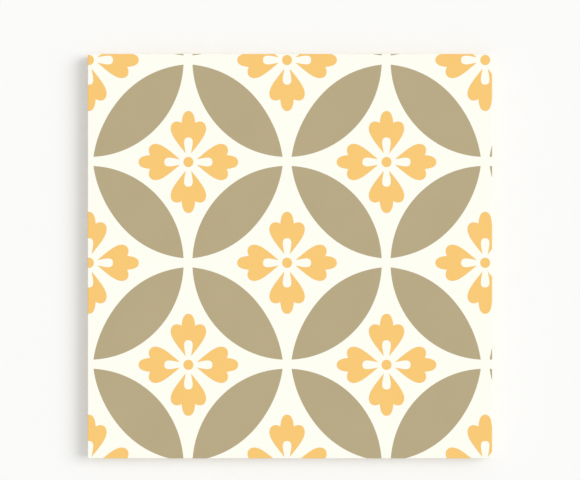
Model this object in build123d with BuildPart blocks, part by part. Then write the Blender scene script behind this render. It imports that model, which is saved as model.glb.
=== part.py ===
"""Square decorated ceramic tile, dry-pressed in one piece and glazed on its face.

The tile lies flat with its glazed face up. Its frame has +Z up and its origin in the
middle of the bedding plane, on which the ribs of its back stand. The glazed edge is
eased all round, the walls stand square below it and then draw in towards the back, as
they do when the blank is pushed out of its die. The back is keyed for its adhesive by
a waffle of shallow pockets with ribs between them and a plain frame round them.
"""

import os
from math import radians, tan

from build123d import *

# Overall size, in millimetres and degrees
side = 200.0
thickness = 8.0

# Outline and edges
corner_radius = 0.6
arris_radius = 0.35
land_height = 5.0
wall_draft = 10.0
foot_radius = 0.3

# Waffle key of the back
frame_width = 6.0
rib_width = 2.6
pocket_spacing = 27.0
pocket_depth = 0.8
pocket_corner = 2.0
pocket_draft = 30.0

# The walls below the land draw in to a smaller foot.
foot_height = thickness - land_height
foot_side = side - 2 * foot_height * tan(radians(wall_draft))

# As many pockets as fit at about their spacing share the back inside the frame.
key_field = foot_side - 2 * frame_width
pockets_across = max(1, round(key_field / pocket_spacing))
pocket_pitch = (key_field + rib_width) / pockets_across
pocket_size = pocket_pitch - rib_width

os.makedirs("parts", exist_ok=True)

with BuildPart() as tile:
    # The walls draw in from the land down to the bedding plane.
    with BuildSketch(Plane.XY):
        RectangleRounded(foot_side, foot_side, corner_radius)
    with BuildSketch(Plane.XY.offset(foot_height)):
        RectangleRounded(side, side, corner_radius)
    loft(ruled=True)

    # The land stands square and carries the face.
    with BuildSketch(Plane.XY.offset(foot_height)):
        RectangleRounded(side, side, corner_radius)
    extrude(amount=land_height)

    # The glazed edge is eased round the face, and the foot is broken round the back.
    fillet(tile.faces().sort_by(Axis.Z)[-1].edges(), radius=arris_radius)
    fillet(tile.faces().sort_by(Axis.Z)[0].edges(), radius=foot_radius)

    # Pockets with sloping walls leave a waffle of ribs on the bedding plane.
    with BuildSketch(Plane.XY):
        with GridLocations(pocket_pitch, pocket_pitch, pockets_across, pockets_across):
            RectangleRounded(pocket_size, pocket_size, pocket_corner)
    extrude(amount=pocket_depth, taper=pocket_draft, mode=Mode.SUBTRACT)

tile.part.label = "tile"
export_step(tile.part, "parts/tile.step")
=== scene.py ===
"""Looks of a square decorated ceramic tile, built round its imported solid.

The tile's body stays as the frame gives it and is dressed as what it is: pressed clay with
a cream satin glaze on its face, which has run a little down its walls. The decoration is
laid on that glaze as real coats of coloured glaze, each a closed patch a few hundredths of
a millimetre thick: taupe leaves, which together draw overlapping circles, and between
them yellow blossoms of four petals round an eye. Lengths are in metres, and +Y is the top
of the tile as it is looked down on.
"""

import logging
import math
from abc import ABC, abstractmethod
from dataclasses import dataclass
from enum import Enum, IntEnum

import bmesh
import bpy
import numpy as np
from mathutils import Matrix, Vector


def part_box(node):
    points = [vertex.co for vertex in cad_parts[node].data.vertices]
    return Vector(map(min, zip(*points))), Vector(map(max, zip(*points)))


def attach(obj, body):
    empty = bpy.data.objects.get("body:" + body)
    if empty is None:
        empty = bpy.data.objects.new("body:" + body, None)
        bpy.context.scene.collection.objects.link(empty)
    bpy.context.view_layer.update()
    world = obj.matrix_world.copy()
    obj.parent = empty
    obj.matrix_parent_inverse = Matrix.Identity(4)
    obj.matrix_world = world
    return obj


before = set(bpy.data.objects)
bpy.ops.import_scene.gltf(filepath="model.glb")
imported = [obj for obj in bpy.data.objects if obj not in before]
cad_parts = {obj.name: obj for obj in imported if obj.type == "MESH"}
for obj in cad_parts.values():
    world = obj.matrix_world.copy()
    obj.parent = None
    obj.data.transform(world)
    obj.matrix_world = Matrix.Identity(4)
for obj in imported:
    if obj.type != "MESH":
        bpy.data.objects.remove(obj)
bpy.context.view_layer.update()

log = logging.getLogger("tile")

MM = 0.001

# Most of a noise's values lie between these two.
NOISE_LOW = 0.35
NOISE_HIGH = 0.65

# Glass and fired clay bend light by about the same index.
GLASS_IOR = 1.5

Tree = bpy.types.NodeTree
Socket = bpy.types.NodeSocket


class Mix(IntEnum):
    """Inputs of a Mix node, which has one pair for numbers and another for colours."""

    AMOUNT = 0
    NUMBER_A = 2
    NUMBER_B = 3
    COLOUR_A = 6
    COLOUR_B = 7


# Output of a Mix node that gives its mixed colour. Its mixed number is the first one.
MIXED_COLOUR = 2


# Small tools


def linear(code: str) -> tuple[float, float, float, float]:
    """Turns an sRGB hex code into the linear colour that a socket takes.

    Each channel c, from 0 to 1, becomes c / 12.92 up to 0.04045 and
    ((c + 0.055) / 1.055)^2.4 above it.

    Args:
        code: Six hex digits, such as "FEFEF1".

    Returns:
        Red, green, blue and an alpha of 1.
    """
    srgb = np.array([int(code[i : i + 2], 16) for i in (0, 2, 4)]) / 255
    straight = np.where(srgb <= 0.04045, srgb / 12.92, ((srgb + 0.055) / 1.055) ** 2.4)
    return (*straight.tolist(), 1.0)


def empty_tree(owner: bpy.types.Material | bpy.types.World) -> Tree:
    """Gives a new material or world an empty tree of nodes.

    Args:
        owner: The material or world.

    Returns:
        Its tree.
    """
    owner.use_nodes = True
    owner.node_tree.nodes.clear()
    return owner.node_tree


def add_node(
    tree: Tree, kind: str, inputs: dict | None = None, **settings: object
) -> bpy.types.Node:
    """Adds one node with its settings, values and links.

    Args:
        tree: The tree that takes the node.
        kind: The node's type.
        inputs: Each socket's name or number, with its value or the output that feeds it.
        settings: Properties of the node.

    Returns:
        The new node.
    """
    node = tree.nodes.new(kind)
    for name, value in settings.items():
        setattr(node, name, value)
    for socket, value in (inputs or {}).items():
        if isinstance(value, Socket):
            tree.links.new(value, node.inputs[socket])
        else:
            node.inputs[socket].default_value = value
    return node


def circle(radius: float, steps: int) -> np.ndarray:
    """Works out a circle about the origin: R cos(a) and R sin(a), for a once round.

    Args:
        radius: Radius of the circle.
        steps: How many points it has.

    Returns:
        The points, one row each, counterclockwise.
    """
    angle = np.linspace(0, 2 * math.pi, steps, endpoint=False)
    return radius * np.stack([np.cos(angle), np.sin(angle)], axis=1)


def bezier(points: list[tuple[float, float]], steps: int) -> np.ndarray:
    """Works out a cubic Bezier curve as one array.

    The curve is (1-t)^3 A + 3 (1-t)^2 t B + 3 (1-t) t^2 C + t^3 D, for t from 0 to 1.

    Args:
        points: The two ends A and D with the two handles B and C between them.
        steps: How many steps to go from A to D.

    Returns:
        The points, one row each, both ends among them.
    """
    t = np.linspace(0, 1, steps + 1)[:, None]
    a, b, c, d = np.array(points, float)
    return (1 - t) ** 3 * a + 3 * (1 - t) ** 2 * t * b + 3 * (1 - t) * t**2 * c + t**3 * d


def mirrored(half: np.ndarray) -> np.ndarray:
    """Completes the right half of an outline, which ends on the Y axis, with its mirror.

    Args:
        half: Points from the right end to the axis.

    Returns:
        The points from the left end over the axis to the right end.
    """
    return np.concatenate([half * (-1, 1), half[-2::-1]])


def points_of(mesh: bpy.types.Mesh) -> np.ndarray:
    """Reads where a mesh's points lie.

    Args:
        mesh: The mesh.

    Returns:
        The points, one row each.
    """
    points = np.empty(len(mesh.vertices) * 3)
    mesh.vertices.foreach_get("co", points)
    return points.reshape(-1, 3)


def add_object(name: str, data: bpy.types.ID) -> bpy.types.Object:
    """Adds an object to the scene, at the origin.

    Args:
        name: The object's name.
        data: Its mesh, camera or light.

    Returns:
        The object.
    """
    item = bpy.data.objects.new(name, data)
    bpy.context.scene.collection.objects.link(item)
    return item


# Finishes


class Finish(ABC):
    """What a surface shows: its colour, its roughness and its fine relief."""

    @abstractmethod
    def colour(self, tree: Tree, place: Socket) -> Socket:
        """Gives the colour at each place."""

    @abstractmethod
    def roughness(self, tree: Tree, place: Socket) -> Socket:
        """Gives the roughness at each place."""

    @abstractmethod
    def relief(self, tree: Tree, place: Socket) -> Socket:
        """Gives the height of the relief in metres at each place."""

    def material(self, name: str) -> bpy.types.Material:
        """Builds the material that shows this finish.

        Args:
            name: The material's name.

        Returns:
            The material, on Object coordinates.
        """
        material = bpy.data.materials.new(name)
        tree = empty_tree(material)
        place = add_node(tree, "ShaderNodeTexCoord").outputs["Object"]
        bump = add_node(
            tree,
            "ShaderNodeBump",
            {"Strength": 1.0, "Distance": 1.0, "Height": self.relief(tree, place)},
        )
        shader = add_node(
            tree,
            "ShaderNodeBsdfPrincipled",
            {
                "Base Color": self.colour(tree, place),
                "Roughness": self.roughness(tree, place),
                "Normal": bump.outputs["Normal"],
                "Metallic": 0.0,
                "IOR": GLASS_IOR,
            },
        )
        add_node(tree, "ShaderNodeOutputMaterial", {"Surface": shader.outputs["BSDF"]})
        return material


@dataclass(frozen=True)
class SatinGlaze(Finish):
    """Opaque satin glaze: coloured glass, sprayed or printed on and fired.

    To the eye it is smooth and even, with a soft sheen rather than a mirror's. Its colour
    drifts very slightly where the coat lies thick or thin, and it has a faint orange peel.

    Attributes:
        full: Colour where the coat lies thick.
        thin: Colour where it lies thin.
        cloud: Size of the patches that lie thick or thin.
        gloss: Size of the patches that are more or less glossy.
        peel: Spacing of the orange peel's waves.
        peel_height: Height of those waves.
        sheen: Lowest and highest roughness.
    """

    full: str
    thin: str
    cloud: float = 24 * MM
    gloss: float = 8 * MM
    peel: float = 3.4 * MM
    peel_height: float = 0.014 * MM
    sheen: tuple[float, float] = (0.28, 0.36)

    def colour(self, tree: Tree, place: Socket) -> Socket:
        """Mixes the thick and thin colours by soft clouds.

        Args:
            tree: The material's tree.
            place: Where each point lies.

        Returns:
            The colour at each place.
        """
        clouds = add_node(
            tree, "ShaderNodeTexNoise", {"Vector": place, "Scale": 1 / self.cloud, "Detail": 3.0}
        )
        mix = add_node(
            tree,
            "ShaderNodeMix",
            {
                Mix.AMOUNT: clouds.outputs[0],
                Mix.COLOUR_A: linear(self.thin),
                Mix.COLOUR_B: linear(self.full),
            },
            data_type="RGBA",
        )
        return mix.outputs[MIXED_COLOUR]

    def roughness(self, tree: Tree, place: Socket) -> Socket:
        """Lets the sheen drift from patch to patch.

        Args:
            tree: The material's tree.
            place: Where each point lies.

        Returns:
            The roughness at each place.
        """
        patches = add_node(
            tree, "ShaderNodeTexNoise", {"Vector": place, "Scale": 1 / self.gloss, "Detail": 2.0}
        )
        low, high = self.sheen
        drift = add_node(
            tree, "ShaderNodeMapRange", {"Value": patches.outputs[0], "To Min": low, "To Max": high}
        )
        return drift.outputs[0]

    def relief(self, tree: Tree, place: Socket) -> Socket:
        """Draws the orange peel.

        Args:
            tree: The material's tree.
            place: Where each point lies.

        Returns:
            Its height in metres at each place.
        """
        waves = add_node(
            tree, "ShaderNodeTexNoise", {"Vector": place, "Scale": 1 / self.peel, "Detail": 2.0}
        )
        height = add_node(
            tree, "ShaderNodeMath", {0: waves.outputs[0], 1: self.peel_height}, operation="MULTIPLY"
        )
        return height.outputs[0]


@dataclass(frozen=True)
class PressedClay(Finish):
    """Biscuit: buff clay powder, dry-pressed in a steel die and fired, left bare.

    To the eye it is dull and chalky, mottled by its grains, with sparse brown specks of
    iron and, on the walls, fine upright drag marks of the die. Where the back rode on the
    kiln's rollers it wears a thin, blotchy white wash.

    Attributes:
        light: Paler colour of the clay.
        dark: Deeper colour of the clay.
        speck: Colour of the iron specks.
        wash: Colour of the kiln wash.
        cloud: Size of the paler and deeper patches.
        grain: Size of the pressed grains, drawn coarser than the real ones so that they
            show.
        grain_height: Height of those grains.
        spacing: Distance between the places that may hold a speck.
        spread: Where a speck starts to fade and where it ends, from its middle, as shares
            of that distance.
        sparse: Share of those places that hold none.
        wash_top: Height above the bedding plane at which the wash starts to fade. At
            twice that height there is none.
        wash_cover: How well the wash covers, where it is thinnest and where thickest.
        blotch: Size of the wash's blotches across their run.
        blotch_run: How many times longer they are along Y, as the rollers drew them out.
        drag: Spacing of the drag marks.
        drag_run: How many times longer they are along Z.
        drag_height: Height of the drag marks.
        chalk: Lowest and highest roughness.
        chalk_patch: Size of the patches that are more or less rough.
    """

    light: str = "EBE0CD"
    dark: str = "DACBB0"
    speck: str = "8A6B4A"
    wash: str = "F7F4EE"
    cloud: float = 13 * MM
    grain: float = 0.7 * MM
    grain_height: float = 0.05 * MM
    spacing: float = 3.0 * MM
    spread: tuple[float, float] = (0.04, 0.1)
    sparse: float = 0.7
    wash_top: float = 0.12 * MM
    wash_cover: tuple[float, float] = (0.05, 0.8)
    blotch: float = 6 * MM
    blotch_run: float = 2.0
    drag: float = 0.5 * MM
    drag_run: float = 30.0
    drag_height: float = 0.03 * MM
    chalk: tuple[float, float] = (0.78, 0.92)
    chalk_patch: float = 6.5 * MM

    def colour(self, tree: Tree, place: Socket) -> Socket:
        """Mixes the clay's two colours by clouds and grains, then adds specks and wash.

        Args:
            tree: The material's tree.
            place: Where each point lies.

        Returns:
            The colour at each place.
        """
        clouds = add_node(
            tree,
            "ShaderNodeTexNoise",
            {"Vector": place, "Scale": 1 / self.cloud, "Detail": 8.0, "Roughness": 0.62},
        )
        clay = add_node(
            tree,
            "ShaderNodeMix",
            {
                Mix.AMOUNT: clouds.outputs[0],
                Mix.COLOUR_A: linear(self.dark),
                Mix.COLOUR_B: linear(self.light),
            },
            data_type="RGBA",
        )
        specked = add_node(
            tree,
            "ShaderNodeMix",
            {
                Mix.AMOUNT: self.specked(tree, place),
                Mix.COLOUR_A: clay.outputs[MIXED_COLOUR],
                Mix.COLOUR_B: linear(self.speck),
            },
            data_type="RGBA",
        )
        washed = add_node(
            tree,
            "ShaderNodeMix",
            {
                Mix.AMOUNT: self.washed(tree, place),
                Mix.COLOUR_A: specked.outputs[MIXED_COLOUR],
                Mix.COLOUR_B: linear(self.wash),
            },
            data_type="RGBA",
        )
        return washed.outputs[MIXED_COLOUR]

    def specked(self, tree: Tree, place: Socket) -> Socket:
        """Strews the iron specks: some of the places that may hold one do.

        Args:
            tree: The material's tree.
            place: Where each point lies.

        Returns:
            1 in the middle of a speck, falling to 0 off the specks.
        """
        cells = add_node(tree, "ShaderNodeTexVoronoi", {"Vector": place, "Scale": 1 / self.spacing})
        start, end = self.spread
        spot = add_node(
            tree,
            "ShaderNodeMapRange",
            {
                "Value": cells.outputs["Distance"],
                "From Min": start,
                "From Max": end,
                "To Min": 1.0,
                "To Max": 0.0,
            },
        )
        draw = add_node(tree, "ShaderNodeSeparateColor", {"Color": cells.outputs["Color"]})
        holds = add_node(
            tree, "ShaderNodeMath", {0: draw.outputs[0], 1: self.sparse}, operation="GREATER_THAN"
        )
        speck = add_node(
            tree, "ShaderNodeMath", {0: spot.outputs[0], 1: holds.outputs[0]}, operation="MULTIPLY"
        )
        return speck.outputs[0]

    def washed(self, tree: Tree, place: Socket) -> Socket:
        """Lays the kiln wash on the ribs of the back in blotches, drawn out along Y.

        Args:
            tree: The material's tree.
            place: Where each point lies.

        Returns:
            The share of the clay that the wash covers at each place.
        """
        height = add_node(tree, "ShaderNodeSeparateXYZ", {"Vector": place}).outputs["Z"]
        low = add_node(
            tree,
            "ShaderNodeMapRange",
            {
                "Value": height,
                "From Min": self.wash_top,
                "From Max": 2 * self.wash_top,
                "To Min": 1.0,
                "To Max": 0.0,
            },
        )
        drawn_out = add_node(
            tree, "ShaderNodeMapping", {"Vector": place, "Scale": (1.0, 1 / self.blotch_run, 1.0)}
        )
        blotches = add_node(
            tree,
            "ShaderNodeTexNoise",
            {
                "Vector": drawn_out.outputs[0],
                "Scale": 1 / self.blotch,
                "Detail": 6.0,
                "Roughness": 0.6,
            },
        )
        thinnest, thickest = self.wash_cover
        cover = add_node(
            tree,
            "ShaderNodeMapRange",
            {
                "Value": blotches.outputs[0],
                "From Min": NOISE_LOW,
                "From Max": NOISE_HIGH,
                "To Min": thinnest,
                "To Max": thickest,
            },
        )
        amount = add_node(
            tree, "ShaderNodeMath", {0: low.outputs[0], 1: cover.outputs[0]}, operation="MULTIPLY"
        )
        return amount.outputs[0]

    def roughness(self, tree: Tree, place: Socket) -> Socket:
        """Lets the chalky surface drift from patch to patch.

        Args:
            tree: The material's tree.
            place: Where each point lies.

        Returns:
            The roughness at each place.
        """
        patches = add_node(
            tree,
            "ShaderNodeTexNoise",
            {"Vector": place, "Scale": 1 / self.chalk_patch, "Detail": 4.0},
        )
        low, high = self.chalk
        drift = add_node(
            tree, "ShaderNodeMapRange", {"Value": patches.outputs[0], "To Min": low, "To Max": high}
        )
        return drift.outputs[0]

    def relief(self, tree: Tree, place: Socket) -> Socket:
        """Adds the pressed grains and the drag marks, which are noise drawn out along Z.

        Args:
            tree: The material's tree.
            place: Where each point lies.

        Returns:
            Their height in metres at each place.
        """
        grains = add_node(
            tree,
            "ShaderNodeTexNoise",
            {"Vector": place, "Scale": 1 / self.grain, "Detail": 4.0, "Roughness": 0.6},
        )
        upright = add_node(
            tree, "ShaderNodeMapping", {"Vector": place, "Scale": (1.0, 1.0, 1 / self.drag_run)}
        )
        marks = add_node(
            tree,
            "ShaderNodeTexNoise",
            {"Vector": upright.outputs[0], "Scale": 1 / self.drag, "Detail": 2.0},
        )
        dragged = add_node(
            tree, "ShaderNodeMath", {0: marks.outputs[0], 1: self.drag_height}, operation="MULTIPLY"
        )
        height = add_node(
            tree,
            "ShaderNodeMath",
            {0: grains.outputs[0], 1: self.grain_height, 2: dragged.outputs[0]},
            operation="MULTIPLY_ADD",
        )
        return height.outputs[0]


@dataclass(frozen=True)
class GlazedBody(Finish):
    """The tile's body: glaze on its face and the top of its walls, bare clay below.

    The glaze has run down the walls to a wavy line, where it ends in a small bead that
    stands proud of the clay. It has drawn thinnest on the eased edge and lies thin on the
    walls, and the clay under it warms it there.

    Attributes:
        glaze: The base glaze.
        clay: The bare clay.
        top: Height of the face over the bedding plane.
        drop: How far below the face the glaze line lies, on the whole.
        wave: How far the line wanders up and down from there.
        run: Spacing of the runs.
        bead: Thickness of the glaze at its line.
        thin_drop: How far below the face, on the eased edge, the glaze is thinnest.
        bare: Share of the clay that shows through there, where least and where most.
        veil: Share of that which still shows through on the walls.
    """

    glaze: SatinGlaze
    clay: PressedClay
    top: float
    drop: float = 1.5 * MM
    wave: float = 0.6 * MM
    run: float = 9 * MM
    bead: float = 0.12 * MM
    thin_drop: float = 0.14 * MM
    bare: tuple[float, float] = (0.1, 0.6)
    veil: float = 0.6

    def covered(self, tree: Tree, place: Socket) -> Socket:
        """Ends the glaze at its wavy line, over the height of its bead.

        Args:
            tree: The material's tree.
            place: Where each point lies.

        Returns:
            1 where the glaze lies and 0 where the clay is bare.
        """
        height = add_node(tree, "ShaderNodeSeparateXYZ", {"Vector": place}).outputs["Z"]
        runs = add_node(
            tree, "ShaderNodeTexNoise", {"Vector": place, "Scale": 1 / self.run, "Detail": 1.5}
        )
        middle = self.top - self.drop
        line = add_node(
            tree,
            "ShaderNodeMapRange",
            {
                "Value": runs.outputs[0],
                "From Min": NOISE_LOW,
                "From Max": NOISE_HIGH,
                "To Min": middle - self.wave,
                "To Max": middle + self.wave,
            },
        )
        above = add_node(
            tree, "ShaderNodeMath", {0: height, 1: line.outputs[0]}, operation="SUBTRACT"
        )
        edge = add_node(
            tree,
            "ShaderNodeMapRange",
            {"Value": above.outputs[0], "From Min": 0.0, "From Max": self.bead},
            interpolation_type="SMOOTHSTEP",
        )
        return edge.outputs[0]

    def thinned(self, tree: Tree, place: Socket) -> Socket:
        """Thins the glaze on the eased edge and the walls, in patches.

        Args:
            tree: The material's tree.
            place: Where each point lies.

        Returns:
            The share of the clay that shows through at each place: none on the face.
        """
        height = add_node(tree, "ShaderNodeSeparateXYZ", {"Vector": place}).outputs["Z"]
        thinnest = self.top - self.thin_drop
        drawing = add_node(
            tree,
            "ShaderNodeMapRange",
            {
                "Value": height,
                "From Min": thinnest,
                "From Max": self.top,
                "To Min": 1.0,
                "To Max": 0.0,
            },
            interpolation_type="SMOOTHSTEP",
        )
        gathering = add_node(
            tree,
            "ShaderNodeMapRange",
            {
                "Value": height,
                "From Min": thinnest - self.thin_drop,
                "From Max": thinnest,
                "To Min": self.veil,
            },
            interpolation_type="SMOOTHSTEP",
        )
        thin = add_node(
            tree,
            "ShaderNodeMath",
            {0: drawing.outputs[0], 1: gathering.outputs[0]},
            operation="MULTIPLY",
        )
        patches = add_node(
            tree, "ShaderNodeTexNoise", {"Vector": place, "Scale": 1 / self.run, "Detail": 4.0}
        )
        least, most = self.bare
        patchy = add_node(
            tree,
            "ShaderNodeMapRange",
            {
                "Value": patches.outputs[0],
                "From Min": NOISE_LOW,
                "From Max": NOISE_HIGH,
                "To Min": least,
                "To Max": most,
            },
        )
        amount = add_node(
            tree, "ShaderNodeMath", {0: thin.outputs[0], 1: patchy.outputs[0]}, operation="MULTIPLY"
        )
        return amount.outputs[0]

    def colour(self, tree: Tree, place: Socket) -> Socket:
        """Shows the glaze's colour where it lies and the clay's elsewhere.

        Args:
            tree: The material's tree.
            place: Where each point lies.

        Returns:
            The colour at each place.
        """
        clay = self.clay.colour(tree, place)
        glaze = add_node(
            tree,
            "ShaderNodeMix",
            {
                Mix.AMOUNT: self.thinned(tree, place),
                Mix.COLOUR_A: self.glaze.colour(tree, place),
                Mix.COLOUR_B: clay,
            },
            data_type="RGBA",
        )
        mix = add_node(
            tree,
            "ShaderNodeMix",
            {
                Mix.AMOUNT: self.covered(tree, place),
                Mix.COLOUR_A: clay,
                Mix.COLOUR_B: glaze.outputs[MIXED_COLOUR],
            },
            data_type="RGBA",
        )
        return mix.outputs[MIXED_COLOUR]

    def roughness(self, tree: Tree, place: Socket) -> Socket:
        """Shows the glaze's sheen where it lies and the clay's chalk elsewhere.

        Args:
            tree: The material's tree.
            place: Where each point lies.

        Returns:
            The roughness at each place.
        """
        mix = add_node(
            tree,
            "ShaderNodeMix",
            {
                Mix.AMOUNT: self.covered(tree, place),
                Mix.NUMBER_A: self.clay.roughness(tree, place),
                Mix.NUMBER_B: self.glaze.roughness(tree, place),
            },
        )
        return mix.outputs[0]

    def relief(self, tree: Tree, place: Socket) -> Socket:
        """Shows the glaze's peel or the clay's grain, with the bead's step between them.

        Args:
            tree: The material's tree.
            place: Where each point lies.

        Returns:
            Their height in metres at each place.
        """
        covered = self.covered(tree, place)
        ground = add_node(
            tree,
            "ShaderNodeMix",
            {
                Mix.AMOUNT: covered,
                Mix.NUMBER_A: self.clay.relief(tree, place),
                Mix.NUMBER_B: self.glaze.relief(tree, place),
            },
        )
        height = add_node(
            tree,
            "ShaderNodeMath",
            {0: covered, 1: self.bead, 2: ground.outputs[0]},
            operation="MULTIPLY_ADD",
        )
        return height.outputs[0]


# The drawing that the decoration follows


class Heading(Enum):
    """Way in which a petal points, as quarter turns from the top of the tile."""

    TOP = 0
    LEFT = 1
    BOTTOM = 2
    RIGHT = 3

    def turned(self, points: np.ndarray) -> np.ndarray:
        """Turns points about the origin, so that what pointed to the top points this way.

        Args:
            points: The points, one row each.

        Returns:
            The points as turned.
        """
        angle = self.value * math.pi / 2
        turn = np.array([[math.cos(angle), math.sin(angle)], [-math.sin(angle), math.cos(angle)]])
        return points @ turn


class Wall(Enum):
    """One of the tile's four walls, by the way that it faces."""

    RIGHT = (1.0, 0.0, 0.0)
    LEFT = (-1.0, 0.0, 0.0)
    TOP = (0.0, 1.0, 0.0)
    BOTTOM = (0.0, -1.0, 0.0)


@dataclass(frozen=True)
class Drawing:
    """The repeat of the decoration, and how the screen laid it on the tile.

    It is drawn on a square repeat, with a blossom at each corner and one in its middle.
    The screen drew it in along X and out along Y by a hair, laid it a little off the
    tile's middle and slipped the blossoms in the middles of the repeats.

    Attributes:
        repeat: Side of the drawn repeat.
        stretch: How much the screen stretched it along X and Y.
        offset: Where the corner blossom nearest the tile's middle lies.
        slip: How far the middle blossoms are moved from their place.
        reach: How many repeats are drawn each way.
    """

    repeat: float = 100 * MM
    stretch: tuple[float, float] = (0.9793, 1.0024)
    offset: tuple[float, float] = (-1.41 * MM, -3.29 * MM)
    slip: tuple[float, float] = (0.2 * MM, -0.3 * MM)
    reach: int = 2

    def corners(self) -> list[np.ndarray]:
        """Gives the corners of the repeats in the drawing."""
        count = range(-self.reach, self.reach + 1)
        return [np.array([column, row]) * self.repeat for column in count for row in count]

    def halfway(self) -> list[np.ndarray]:
        """Gives the four ways from a corner to the middles of the repeats about it."""
        return [np.array(way) * self.repeat / 2 for way in ((1, 1), (-1, 1), (-1, -1), (1, -1))]

    def on_tile(self, points: np.ndarray) -> np.ndarray:
        """Takes points of the drawing to where the screen laid them on the tile."""
        return points * np.array(self.stretch) + np.array(self.offset)


@dataclass(frozen=True)
class Leaf:
    """A leaf: two arcs that meet in sharp tips, the one a little flatter than the other.

    It lies across the line between a corner blossom and a middle one. Four leaves about a
    corner blossom draw a circle with their outer arcs. The flatter arcs bulge a little more
    towards the top and bottom of the tile than towards its sides.

    Attributes:
        half_length: From its middle to a tip.
        bulge: Height of the arc towards the middle blossom.
        flat_bulge: Height of the arc towards the corner blossom.
        flat_lean: How much higher that arc is on its one half, and lower on the other.
        steps: Steps along each arc.
    """

    half_length: float = 32.15 * MM
    bulge: float = 12.42 * MM
    flat_bulge: float = 11.03 * MM
    flat_lean: float = 0.27 * MM
    steps: int = 56

    def arc(self, bulge: float, lean: float = 0.0) -> np.ndarray:
        """Works out an arc through both tips, as high as its bulge.

        Its radius is (half_length^2 + bulge^2) / (2 bulge), and its points are evenly
        spaced in angle, at X = R sin(a) and Y = R cos(a) - (R - bulge). To Y it adds
        lean sin(pi X / half_length), which is nought at the tips and in the middle.

        Args:
            bulge: Height of the arc over the line between the tips.
            lean: How much higher the arc is on its right half, and lower on its left.

        Returns:
            The arc's points from the left tip to the right one.
        """
        radius = (self.half_length**2 + bulge**2) / (2 * bulge)
        reach = math.asin(self.half_length / radius)
        angle = np.linspace(-reach, reach, self.steps + 1)
        x = radius * np.sin(angle)
        y = radius * (np.cos(angle) - 1) + bulge + lean * np.sin(math.pi * x / self.half_length)
        return np.stack([x, y], axis=1)

    def outline(self, corner: np.ndarray, middle: np.ndarray) -> np.ndarray:
        """Lays the leaf across the line between two blossoms.

        Args:
            corner: Place of the corner blossom in the drawing.
            middle: Place of the middle blossom in the drawing.

        Returns:
            The closed outline, with the leaf on its left.
        """
        out = (middle - corner) / np.linalg.norm(middle - corner)
        along = np.array([out[1], -out[0]])
        flat = self.arc(self.flat_bulge, self.flat_lean * np.sign(out[0] * out[1])) * (1, -1)
        full = self.arc(self.bulge)[::-1]
        return np.concatenate([flat, full[1:-1]]) @ [along, out] + (corner + middle) / 2


@dataclass(frozen=True)
class Petal:
    """A petal with two round lobes, a tongue between them and a slot up its middle.

    The right half of its outline runs from the sharp point beside the eye up the flank,
    over the lobe into the notch and up the tongue, and the slot's edge runs from the same
    point to the slot's round end. The left half mirrors it. Each run is one Bezier curve,
    and every place is given across and out from the blossom's middle.

    Attributes:
        point: Sharp point beside the eye.
        flank: Handles of the flank.
        shoulder: Widest place of the lobe.
        lobe: Handles of the lobe.
        notch: Corner between lobe and tongue.
        tongue: Handles of the tongue.
        tongue_end: End of the tongue.
        slot: Handles of the slot's edge.
        slot_end: Round end of the slot.
        steps: Steps along flank, lobe, tongue and slot.
    """

    point: tuple[float, float] = (1.4 * MM, 4.3 * MM)
    flank: tuple[tuple[float, float], ...] = ((4.7 * MM, 8.4 * MM), (8.95 * MM, 13.0 * MM))
    shoulder: tuple[float, float] = (8.95 * MM, 16.5 * MM)
    lobe: tuple[tuple[float, float], ...] = ((8.95 * MM, 19.6 * MM), (6.3 * MM, 20.9 * MM))
    notch: tuple[float, float] = (3.42 * MM, 19.3 * MM)
    tongue: tuple[tuple[float, float], ...] = ((3.15 * MM, 22.9 * MM), (2.2 * MM, 25.15 * MM))
    tongue_end: tuple[float, float] = (0.0, 25.15 * MM)
    slot: tuple[tuple[float, float], ...] = ((1.5 * MM, 6.8 * MM), (3.75 * MM, 12.15 * MM))
    slot_end: tuple[float, float] = (0.0, 12.15 * MM)
    steps: tuple[int, int, int, int] = (15, 17, 13, 17)

    def outline(self) -> np.ndarray:
        """Works out the closed outline of a petal that points to the top.

        Returns:
            The points, with the petal on their left.
        """
        flank_steps, lobe_steps, tongue_steps, slot_steps = self.steps
        flank = bezier([self.point, *self.flank, self.shoulder], flank_steps)
        lobe = bezier([self.shoulder, *self.lobe, self.notch], lobe_steps)
        tongue = bezier([self.notch, *self.tongue, self.tongue_end], tongue_steps)
        slot = bezier([self.point, *self.slot, self.slot_end], slot_steps)
        outer = mirrored(np.concatenate([flank, lobe[1:], tongue[1:]]))[::-1]
        return np.concatenate([mirrored(slot), outer[1:-1]])


@dataclass(frozen=True)
class Eye:
    """The round eye in the middle of a blossom.

    Attributes:
        radius: Radius of the eye.
        steps: Steps round it.
    """

    radius: float = 2.52 * MM
    steps: int = 48

    def outline(self) -> np.ndarray:
        """Works out the circle, with the eye on its left."""
        return circle(self.radius, self.steps)


# Coats of coloured glaze


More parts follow.
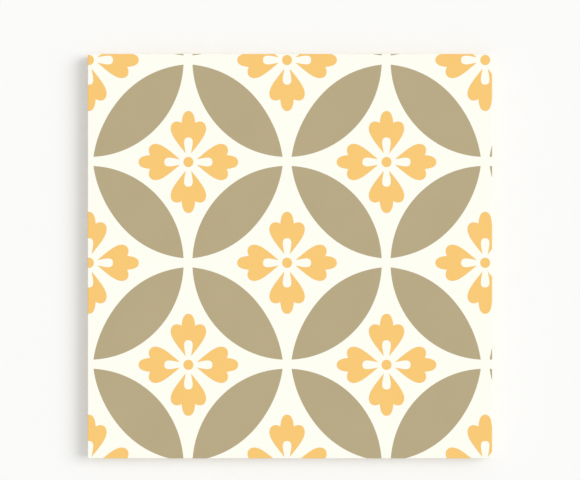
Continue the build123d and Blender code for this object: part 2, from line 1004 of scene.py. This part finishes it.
@dataclass(frozen=True)
class Face:
    """The glazed face that a coat lies on: a plane whose edge is eased all round.

    Attributes:
        top: Height of the face over the bedding plane.
        half: Half the side of the tile.
        arris: Radius of the eased edge.
        rim: Angle down the eased edge at which a coat ends, from 0 at the face.
        bends: How many flat strips a coat has from the face down to there.
    """

    top: float
    half: float
    arris: float
    rim: float = math.radians(75)
    bends: int = 4

    def fall(self, across: np.ndarray) -> np.ndarray:
        """Works out how far the eased edge has fallen below the face.

        Over the last radius of the face it is a quarter circle: r - sqrt(r^2 - e^2),
        where e is how far a place lies beyond the start of the easing.

        Args:
            across: X and Y of each place, one row each.

        Returns:
            The fall at each place.
        """
        beyond = np.abs(across).max(axis=1) - (self.half - self.arris)
        beyond = np.clip(beyond, 0, self.arris)
        return self.arris - np.sqrt(self.arris**2 - beyond**2)

    def cuts(self) -> np.ndarray:
        """Gives how far from the middle a coat is cut to bend, and last where it ends."""
        angles = np.linspace(0, self.rim, self.bends + 1)
        return self.half - self.arris * (1 - np.sin(angles))


@dataclass(frozen=True)
class PrintedCoat:
    """A printed coat of coloured glaze, as it stands on the base glaze.

    Attributes:
        height: How far it stands proud: a little further than a real one, so that its lip
            shows.
        lip: How high its edge is before it rounds over.
        ease: Width over which the edge rounds over.
        root: How far it reaches down into the base glaze.
        weld: Distance within which the points that a cut leaves become one.
    """

    height: float = 0.06 * MM
    lip: float = 0.015 * MM
    ease: float = 0.1 * MM
    root: float = 0.15 * MM
    weld: float = 0.002 * MM

    def rings(self, outline: np.ndarray) -> np.ndarray:
        """Carries the profile of the coat's edge along a closed outline.

        The profile has three points: the root and the lip on the outline, and the
        shoulder, which lies in from it by the ease, square to the line between the
        outline's points before and after.

        Args:
            outline: The outline on the tile, with the coat on its left.

        Returns:
            The three rings of points, as an array of three by points by three.
        """
        along = np.roll(outline, -1, axis=0) - np.roll(outline, 1, axis=0)
        inward = np.stack([-along[:, 1], along[:, 0]], axis=1)
        inward /= np.linalg.norm(inward, axis=1, keepdims=True)
        rings = np.stack([outline, outline, outline + inward * self.ease])
        heights = np.array([-self.root, self.lip, self.height])[:, None, None]
        return np.concatenate([rings, np.broadcast_to(heights, (*rings.shape[:2], 1))], axis=2)

    def mesh(self, name: str, outlines: list[np.ndarray], face: Face) -> bpy.types.Mesh:
        """Joins coats into one mesh and lays it on the face.

        Each coat has its rings joined round its side, and its first and last rings
        closed. The coats are trimmed at the tile's edge and then laid down on the face
        by its fall at each point.

        Args:
            name: The mesh's name.
            outlines: Closed outlines on the tile.
            face: The face that the coats lie on.

        Returns:
            The mesh, in place.
        """
        points = []
        faces = []
        start = 0
        for outline in outlines:
            rings = self.rings(outline)
            number = start + np.arange(rings[..., 0].size).reshape(rings.shape[:2])
            after = np.roll(number, -1, axis=1)
            sides = np.stack([number[:-1], after[:-1], after[1:], number[1:]], axis=-1)
            faces += [*sides.reshape(-1, 4).tolist(), number[-1].tolist(), number[0, ::-1].tolist()]
            points.append(rings.reshape(-1, 3))
            start += number.size
        mesh = bpy.data.meshes.new(name)
        mesh.from_pydata(np.concatenate(points), [], faces)
        self.trim(mesh, face)
        places = points_of(mesh)
        places[:, 2] += face.top - face.fall(places[:, :2])
        mesh.vertices.foreach_set("co", places.ravel())
        mesh.update()
        return mesh

    def trim(self, mesh: bpy.types.Mesh, face: Face) -> None:
        """Ends the coats at the tile's edge, and cuts them where they are to bend.

        Args:
            mesh: The coats, flat and whole.
            face: The face that they are to be laid on.
        """
        solid = bmesh.new()
        solid.from_mesh(mesh)
        # The sides have four corners each, and the caps as many as their outline.
        caps = [part for part in solid.faces if len(part.verts) > 4]
        bmesh.ops.triangulate(solid, faces=caps)
        *bends, rim = face.cuts()
        for wall in Wall:
            out = Vector(wall.value)
            for reach in bends:
                geometry = [*solid.verts, *solid.edges, *solid.faces]
                bmesh.ops.bisect_plane(solid, geom=geometry, plane_co=out * reach, plane_no=out)
            geometry = [*solid.verts, *solid.edges, *solid.faces]
            cut = bmesh.ops.bisect_plane(
                solid, geom=geometry, plane_co=out * rim, plane_no=out, clear_outer=True
            )
            edges = [part for part in cut["geom_cut"] if isinstance(part, bmesh.types.BMEdge)]
            bmesh.ops.edgeloop_fill(solid, edges=edges)
        bmesh.ops.dissolve_degenerate(solid, dist=self.weld, edges=solid.edges)
        bmesh.ops.recalc_face_normals(solid, faces=solid.faces)
        solid.to_mesh(mesh)
        solid.free()


@dataclass(frozen=True)
class Decoration:
    """The printed coats: the taupe leaves and the yellow blossoms.

    Attributes:
        face: The face that they lie on.
        drawing: The repeat that they follow.
        leaf: The leaf.
        petal: The petal.
        eye: The blossoms' eye.
        coat: How the coats stand on the face.
    """

    face: Face
    drawing: Drawing = Drawing()
    leaf: Leaf = Leaf()
    petal: Petal = Petal()
    eye: Eye = Eye()
    coat: PrintedCoat = PrintedCoat()

    def leaves(self) -> list[np.ndarray]:
        """Draws the leaves, four about each corner of the repeats.

        Returns:
            The closed outline of each leaf, in the drawing.
        """
        corners = self.drawing.corners()
        ways = self.drawing.halfway()
        return [self.leaf.outline(corner, corner + way) for corner in corners for way in ways]

    def blossoms(self) -> list[np.ndarray]:
        """Draws the petals and eyes of a blossom at each corner and middle of the repeats.

        Returns:
            The closed outline of each petal and eye, in the drawing.
        """
        shapes = [heading.turned(self.petal.outline()) for heading in Heading]
        shapes.append(self.eye.outline())
        corners = self.drawing.corners()
        slipped = self.drawing.halfway()[0] + self.drawing.slip
        middles = corners + [corner + slipped for corner in corners]
        return [shape + middle for middle in middles for shape in shapes]

    def printed(self, outlines: list[np.ndarray]) -> list[np.ndarray]:
        """Prints outlines of the drawing on the tile and leaves out those that miss it.

        Args:
            outlines: The outlines in the drawing.

        Returns:
            Those whose box meets the face, as they lie on the tile.
        """
        edge = self.face.cuts()[-1]
        on_face = []
        for outline in outlines:
            laid = self.drawing.on_tile(outline)
            if (laid.min(axis=0) < edge).all() and (laid.max(axis=0) > -edge).all():
                on_face.append(laid)
        return on_face

    def build(
        self, name: str, outlines: list[np.ndarray], finish: Finish, slot: str
    ) -> bpy.types.Object:
        """Makes one piece of joined coats, dresses it and lets it ride on the tile.

        Args:
            name: The piece's name.
            outlines: Its outlines in the drawing.
            finish: What its surface shows.
            slot: Name of that finish, which starts the material's name.

        Returns:
            The piece.
        """
        mesh = self.coat.mesh(name, self.printed(outlines), self.face)
        mesh.materials.append(finish.material(f"{slot}_satin"))
        piece = add_object(name, mesh)
        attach(piece, "root")
        log.info("%s: %d points, %d faces", name, len(mesh.vertices), len(mesh.polygons))
        return piece


# Studio


@dataclass(frozen=True)
class PaleCard:
    """Matt pale card that fades into the white background away from the tile.

    To the eye it is even and dull, so it shows the tile's soft shadow and no gloss.

    Attributes:
        colour: Colour of the card.
        near: Distance from the middle up to which it is plain card.
        far: Distance at which it has faded into white.
    """

    colour: str = "FBFBFA"
    near: float = 0.28
    far: float = 1.1

    def material(self, name: str) -> bpy.types.Material:
        """Builds the card's material.

        Args:
            name: The material's name.

        Returns:
            The material, on Object coordinates.
        """
        material = bpy.data.materials.new(name)
        tree = empty_tree(material)
        place = add_node(tree, "ShaderNodeTexCoord").outputs["Object"]
        away = add_node(tree, "ShaderNodeVectorMath", {0: place}, operation="LENGTH")
        fade = add_node(
            tree,
            "ShaderNodeMapRange",
            {"Value": away.outputs["Value"], "From Min": self.near, "From Max": self.far},
            interpolation_type="SMOOTHSTEP",
        )
        card = add_node(tree, "ShaderNodeBsdfDiffuse", {"Color": linear(self.colour)})
        white = add_node(tree, "ShaderNodeEmission", {"Strength": 1.0})
        seen = add_node(tree, "ShaderNodeLightPath").outputs["Is Camera Ray"]
        amount = add_node(
            tree, "ShaderNodeMath", {0: fade.outputs[0], 1: seen}, operation="MULTIPLY"
        )
        mix = add_node(
            tree,
            "ShaderNodeMixShader",
            {0: amount.outputs[0], 1: card.outputs[0], 2: white.outputs[0]},
        )
        add_node(tree, "ShaderNodeOutputMaterial", {"Surface": mix.outputs[0]})
        return material


@dataclass(frozen=True)
class Studio:
    """A plain pale floor, plain soft light and a camera that looks straight down.

    The tile's edges lie where the photograph's pixels put them, and up to 0.2 pixels further
    out, since the eased edge is as pale as the floor and hides that much of the tile.

    Attributes:
        face: The tile's face, which the frame is set by.
        frame_size: Width and height of the photograph's frame.
        tile_left: Where the tile's left edge lies in it.
        tile_right: Where its right edge lies.
        tile_top: Where its top edge lies.
        tile_bottom: Where its bottom edge lies.
        lens: Focal length in millimetres.
        sensor: Width of the sensor in millimetres.
        sight: How many times nearer than the tile, and farther, the camera still sees.
        sun_height: Height of the key light over the floor, in radians.
        sun_way: Way from which it comes, from +X towards +Y, in radians.
        sun_share: Share of the level light that the key light gives.
        sun_size: How wide the key light is, seen from the tile, in radians.
        floor_radius: Radius of the round floor.
        floor_points: Points round its rim.
        floor_gap: How far the floor lies below the bedding plane.
        card: What the floor shows.
    """

    face: Face
    frame_size: tuple[int, int] = (580, 480)
    tile_left: float = 87.65
    tile_right: float = 492.3
    tile_top: float = 53.85
    tile_bottom: float = 458.45
    lens: float = 100.0
    sensor: float = 36.0
    sight: float = 100.0
    sun_height: float = math.radians(42)
    sun_way: float = math.radians(12)
    sun_share: float = 0.3
    sun_size: float = math.radians(38)
    floor_radius: float = 3.0
    floor_points: int = 64
    floor_gap: float = 0.05 * MM
    card: PaleCard = PaleCard()

    def camera(self) -> bpy.types.Object:
        """Sets the camera over the tile, so that its edges lie as in the photograph.

        Returns:
            The camera.
        """
        width, height = self.frame_size
        spans = (self.tile_right - self.tile_left, self.tile_bottom - self.tile_top)
        pixel = 2 * self.face.half / np.mean(spans)
        right_of_tile = width / 2 - (self.tile_left + self.tile_right) / 2
        above_tile = (self.tile_top + self.tile_bottom) / 2 - height / 2
        distance = width * pixel * self.lens / self.sensor
        data = bpy.data.cameras.new("camera")
        data.lens = self.lens
        data.sensor_width = self.sensor
        data.clip_start = distance / self.sight
        data.clip_end = distance * self.sight
        camera = add_object("camera", data)
        camera.location = (right_of_tile * pixel, above_tile * pixel, self.face.top + distance)
        bpy.context.scene.camera = camera
        return camera

    def floor(self) -> bpy.types.Object:
        """Makes the floor, a flat disc.

        Returns:
            The floor.
        """
        rim = circle(self.floor_radius, self.floor_points)
        points = np.column_stack([rim, np.full(self.floor_points, -self.floor_gap)])
        mesh = bpy.data.meshes.new("floor")
        mesh.from_pydata(points, [], [range(self.floor_points)])
        mesh.materials.append(self.card.material("pale_card"))
        floor = add_object("floor", mesh)
        return floor

    def sun(self) -> bpy.types.Object:
        """Makes the key light: broad, from the right and a little from the top.

        A level white surface shows sun_share of full white from it alone.

        Returns:
            The light.
        """
        data = bpy.data.lights.new("key_light", "SUN")
        data.energy = self.sun_share * math.pi / math.sin(self.sun_height)
        data.angle = self.sun_size
        light = add_object("key_light", data)
        level = math.cos(self.sun_height)
        towards = Vector(
            (
                level * math.cos(self.sun_way),
                level * math.sin(self.sun_way),
                math.sin(self.sun_height),
            )
        )
        light.rotation_euler = towards.to_track_quat("Z", "Y").to_euler()
        return light

    def world(self) -> bpy.types.World:
        """Makes the white surroundings, which give the rest of the level light.

        Rays from the camera, and rays that are mirrored or pass through, see plain white.

        Returns:
            The world.
        """
        world = bpy.data.worlds.new("studio")
        tree = empty_tree(world)
        path = add_node(tree, "ShaderNodeLightPath")
        seen = path.outputs["Is Camera Ray"]
        for ray in ("Is Glossy Ray", "Is Transmission Ray"):
            more = add_node(
                tree, "ShaderNodeMath", {0: seen, 1: path.outputs[ray]}, operation="MAXIMUM"
            )
            seen = more.outputs[0]
        light, white = (
            add_node(tree, "ShaderNodeBackground", {"Color": linear("FFFFFF"), "Strength": share})
            for share in (1 - self.sun_share, 1.0)
        )
        mix = add_node(
            tree, "ShaderNodeMixShader", {0: seen, 1: light.outputs[0], 2: white.outputs[0]}
        )
        add_node(tree, "ShaderNodeOutputWorld", {"Surface": mix.outputs[0]})
        bpy.context.scene.world = world
        return world

    def build(self) -> None:
        """Sets up camera, floor and light."""
        self.camera()
        self.floor()
        self.sun()
        self.world()
        bpy.context.scene.view_settings.view_transform = "Standard"
        log.info("studio: camera, floor, key light and white surroundings")


# The whole tile

CREAM = SatinGlaze(full="FEFEF4", thin="FDFDF0")
TAUPE = SatinGlaze(full="B2A27C", thin="B8A882", sheen=(0.3, 0.38))
YELLOW = SatinGlaze(full="F7C56B", thin="F9C971", sheen=(0.3, 0.38))


@dataclass(frozen=True)
class Body:
    """The tile's pressed and glazed body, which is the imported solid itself.

    Attributes:
        node: Name of the solid.
        glaze: Its base glaze.
        clay: Its clay.
    """

    node: str = "tile"
    glaze: SatinGlaze = CREAM
    clay: PressedClay = PressedClay()

    def face(self) -> Face:
        """Measures the face on the solid. The eased edge is what lies past its flat part.

        Returns:
            The face.
        """
        low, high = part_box(self.node)
        points = points_of(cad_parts[self.node].data)
        flat = points[np.isclose(points[:, 2], high[2])]
        return Face(top=high[2], half=(high[0] - low[0]) / 2, arris=high[0] - flat[:, 0].max())

    def dress(self) -> None:
        """Gives the solid its glaze and bare clay."""
        finish = GlazedBody(self.glaze, self.clay, self.face().top)
        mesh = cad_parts[self.node].data
        mesh.materials.clear()
        mesh.materials.append(finish.material("cream_glaze_on_buff_clay"))
        log.info("%s: %d faces, dressed in place", self.node, len(mesh.polygons))


def main() -> None:
    """Builds the tile's looks and the studio, in order."""
    logging.basicConfig(level=logging.INFO, format="%(name)s %(message)s")
    body = Body()
    body.dress()
    face = body.face()
    decoration = Decoration(face)
    decoration.build("leaf_glaze", decoration.leaves(), TAUPE, "taupe_glaze")
    decoration.build("blossom_glaze", decoration.blossoms(), YELLOW, "yellow_glaze")
    Studio(face).build()


if __name__ == "__main__":
    main()
